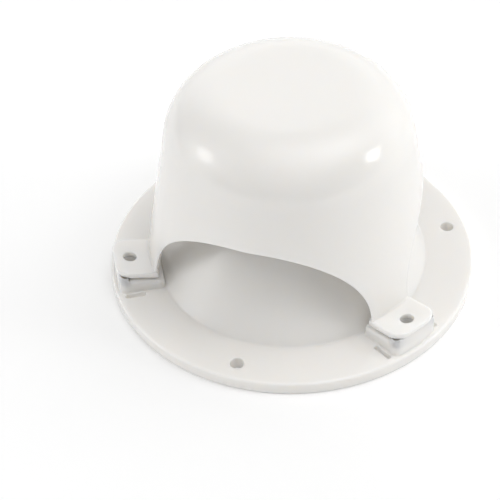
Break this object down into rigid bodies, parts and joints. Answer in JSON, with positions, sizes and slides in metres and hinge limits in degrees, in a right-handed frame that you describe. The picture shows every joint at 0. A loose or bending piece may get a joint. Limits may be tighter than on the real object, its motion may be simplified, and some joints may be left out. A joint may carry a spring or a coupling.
{
  "type": "round roof vent",
  "caption": "Round white moulded roof vent: flanged base with a sloped pipe collar under a tapered hood on arched legs.",
  "frame": {"origin": "centre of the flange's underside", "axes": "+Z along the collar's axis, up towards the hood's top; -Y through the middle of one arch"},
  "size_m": [0.133, 0.133, 0.0795],
  "materials": {
    "base_plastic": "smooth moulded white",
    "hood_plastic": "glossy moulded white"
  },
  "bodies": {
    "root": {"base_flange": "base_plastic", "hood": "hood_plastic"}
  },
  "joints": []
}
